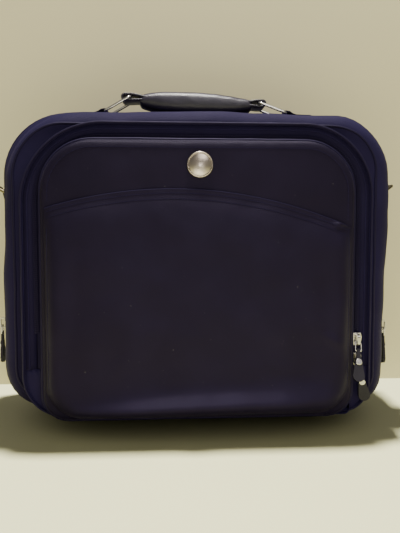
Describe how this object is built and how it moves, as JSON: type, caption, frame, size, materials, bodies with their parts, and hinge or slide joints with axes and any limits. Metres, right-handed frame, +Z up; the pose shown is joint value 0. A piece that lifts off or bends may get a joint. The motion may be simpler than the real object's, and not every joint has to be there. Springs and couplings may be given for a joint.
{
  "type": "rolling laptop case",
  "caption": "Soft two-compartment laptop case on wheels, with a telescoping trolley handle, a padded carry handle, a front slip pocket and zips whose pulls swing.",
  "frame": {"origin": "on the floor, in the middle of the overall width and depth", "axes": "+Z up, -Y towards the front with the slip pocket, +X to the right seen from the front"},
  "size_m": [0.4756, 0.2, 0.372],
  "materials": {
    "shell_fabric": "close-woven nylon, matt",
    "panel_fabric": "close-woven nylon, padded",
    "lining": "smooth lining cloth",
    "board": "smooth sheet",
    "piping": "satin piping",
    "zip_tape": "woven tape with nylon coil",
    "moulding": "fine moulded grain",
    "hub_plastic": "moulded",
    "tread": "soft rubber",
    "fasteners": "plated",
    "tube_aluminium": "satin anodised",
    "rod_steel": "drawn",
    "grip_plastic": "soft satin",
    "leatherette": "grained, satin",
    "webbing": "ribbed webbing",
    "chrome_wire": "bright",
    "bronzed_wire": "dark bronzed",
    "slider_metal": "plated, lightly worn",
    "tab_plastic": "soft moulded"
  },
  "bodies": {
    "case": {"rear_shell": "shell_fabric", "hinge_strip": "shell_fabric", "back_board": "board", "back_pad": "panel_fabric", "laptop_sleeve": "lining", "base_tray": "moulding", "foot_rail": "moulding", "kick_plate": "moulding", "base_screws": "fasteners", "wheel_housing_left": "moulding", "wheel_housing_right": "moulding", "wheel_axles": "fasteners", "main_zip_rear": "zip_tape", "trolley_outer_tubes": "tube_aluminium", "trolley_foot": "moulding", "trolley_bezel": "moulding", "bezel_screws": "fasteners", "handle_anchors": "webbing", "side_tabs": "webbing"},
    "front_lid": {"lid_panel": "shell_fabric", "lid_piping": "piping", "main_zip_front": "zip_tape", "organiser_box": "shell_fabric", "organiser_pockets": "lining", "organiser_zip_outer": "zip_tape"},
    "organiser_cover": {"cover_panel": "panel_fabric", "cover_piping": "piping", "pocket_panel": "panel_fabric", "organiser_zip_inner": "zip_tape", "badge_rim": "chrome_wire", "badge_dome": "chrome_wire"},
    "carry_handle": {"carry_grip": "leatherette", "handle_straps": "leatherette", "handle_rivets": "fasteners"},
    "handle_ring_left": {"handle_ring_left": "chrome_wire"},
    "handle_ring_right": {"handle_ring_right": "chrome_wire"},
    "d_ring_left": {"d_ring_left": "bronzed_wire"},
    "d_ring_right": {"d_ring_right": "bronzed_wire"},
    "wheel_left": {"wheel_hub_left": "hub_plastic", "wheel_tyre_left": "tread"},
    "wheel_right": {"wheel_hub_right": "hub_plastic", "wheel_tyre_right": "tread"},
    "trolley_mid": {"trolley_mid_tubes": "tube_aluminium"},
    "trolley_top": {"trolley_inner_tubes": "tube_aluminium", "trolley_grip": "grip_plastic"},
    "release": {"release_button": "grip_plastic", "release_rods": "rod_steel"},
    "main_slider_left": {"main_slider_left": "slider_metal"},
    "main_pull_left": {"main_pull_metal_left": "slider_metal", "main_pull_tab_left": "tab_plastic"},
    "main_slider_right": {"main_slider_right": "slider_metal"},
    "main_pull_right": {"main_pull_metal_right": "slider_metal", "main_pull_tab_right": "tab_plastic"},
    "cover_slider_upper": {"cover_slider_upper": "slider_metal"},
    "cover_pull_upper": {"cover_pull_metal_upper": "slider_metal", "cover_pull_tab_upper": "tab_plastic"},
    "cover_slider_lower": {"cover_slider_lower": "slider_metal"},
    "cover_pull_lower": {"cover_pull_metal_lower": "slider_metal", "cover_pull_tab_lower": "tab_plastic"}
  },
  "joints": [
    {"name": "lid_open", "type": "hinge", "parent": "case", "child": "front_lid", "pos_m": [0, -0.012, 0.015], "axis": [1, 0, 0], "range_deg": [0, 90]},
    {"name": "cover_open", "type": "hinge", "parent": "front_lid", "child": "organiser_cover", "pos_m": [0, -0.064, 0.016], "axis": [1, 0, 0], "range_deg": [0, 90]},
    {"name": "handle_lift", "type": "slide", "parent": "case", "child": "carry_handle", "axis": [0, 0, 1], "range_m": [0, 0.008]},
    {"name": "wheel_left_spin", "type": "hinge", "parent": "case", "child": "wheel_left", "pos_m": [-0.16, 0.075, 0.025], "axis": [1, 0, 0], "continuous": true},
    {"name": "wheel_right_spin", "type": "hinge", "parent": "case", "child": "wheel_right", "pos_m": [0.16, 0.075, 0.025], "axis": [1, 0, 0], "continuous": true},
    {"name": "trolley_mid_slide", "type": "slide", "parent": "case", "child": "trolley_mid", "axis": [0, 0, 1], "range_m": [0, 0.245]},
    {"name": "trolley_top_slide", "type": "slide", "parent": "trolley_mid", "child": "trolley_top", "axis": [0, 0, 1], "range_m": [0, 0.245]},
    {"name": "release_press", "type": "slide", "parent": "trolley_top", "child": "release", "axis": [0, 0, -1], "range_m": [0, 0.003], "stiffness_N_per_m": 600, "springref_m": -0.003},
    {"name": "ring_left_swing", "type": "hinge", "parent": "case", "child": "handle_ring_left", "pos_m": [-0.104, 0.007, 0.3495], "axis": [0, -1, 0], "range_deg": [0, 17.5]},
    {"name": "d_ring_left_swing", "type": "hinge", "parent": "case", "child": "d_ring_left", "pos_m": [-0.2188, 0.012, 0.258], "axis": [0, -1, 0], "range_deg": [-55, 97]},
    {"name": "ring_right_swing", "type": "hinge", "parent": "case", "child": "handle_ring_right", "pos_m": [0.104, 0.007, 0.3495], "axis": [0, 1, 0], "range_deg": [0, 15.5]},
    {"name": "d_ring_right_swing", "type": "hinge", "parent": "case", "child": "d_ring_right", "pos_m": [0.2188, 0.012, 0.258], "axis": [0, 1, 0], "range_deg": [-55, 97]},
    {"name": "main_slider_left_run", "type": "slide", "parent": "case", "child": "main_slider_left", "axis": [0, 0, 1], "range_m": [0, 0.158]},
    {"name": "main_pull_left_swing", "type": "hinge", "parent": "main_slider_left", "child": "main_pull_left", "pos_m": [-0.2216, -0.012, 0.107], "axis": [0, 1, 0], "range_deg": [0, 110]},
    {"name": "main_slider_right_run", "type": "slide", "parent": "case", "child": "main_slider_right", "axis": [0, 0, 1], "range_m": [0, 0.158]},
    {"name": "main_pull_right_swing", "type": "hinge", "parent": "main_slider_right", "child": "main_pull_right", "pos_m": [0.2216, -0.012, 0.1], "axis": [0, -1, 0], "range_deg": [0, 110]},
    {"name": "cover_slider_upper_run", "type": "slide", "parent": "cover_slider_lower", "child": "cover_slider_upper", "axis": [0, 0, 1], "range_m": [0, 0.08]},
    {"name": "cover_pull_upper_swing", "type": "hinge", "parent": "cover_slider_upper", "child": "cover_pull_upper", "pos_m": [0.1715, -0.0706, 0.094], "axis": [-0.9914, 0, 0.1305], "range_deg": [0, 80]},
    {"name": "cover_slider_lower_run", "type": "slide", "parent": "front_lid", "child": "cover_slider_lower", "axis": [0, 0, 1], "range_m": [0, 0.06]},
    {"name": "cover_pull_lower_swing", "type": "hinge", "parent": "cover_slider_lower", "child": "cover_pull_lower", "pos_m": [0.1715, -0.0706, 0.072], "axis": [-0.9781, 0, -0.2079], "range_deg": [0, 20]}
  ],
  "couplings": [
    {"joint": "ring_left_swing", "follows": "handle_lift", "rad_per_m": 37.813},
    {"joint": "ring_right_swing", "follows": "handle_lift", "rad_per_m": 33.296}
  ]
}
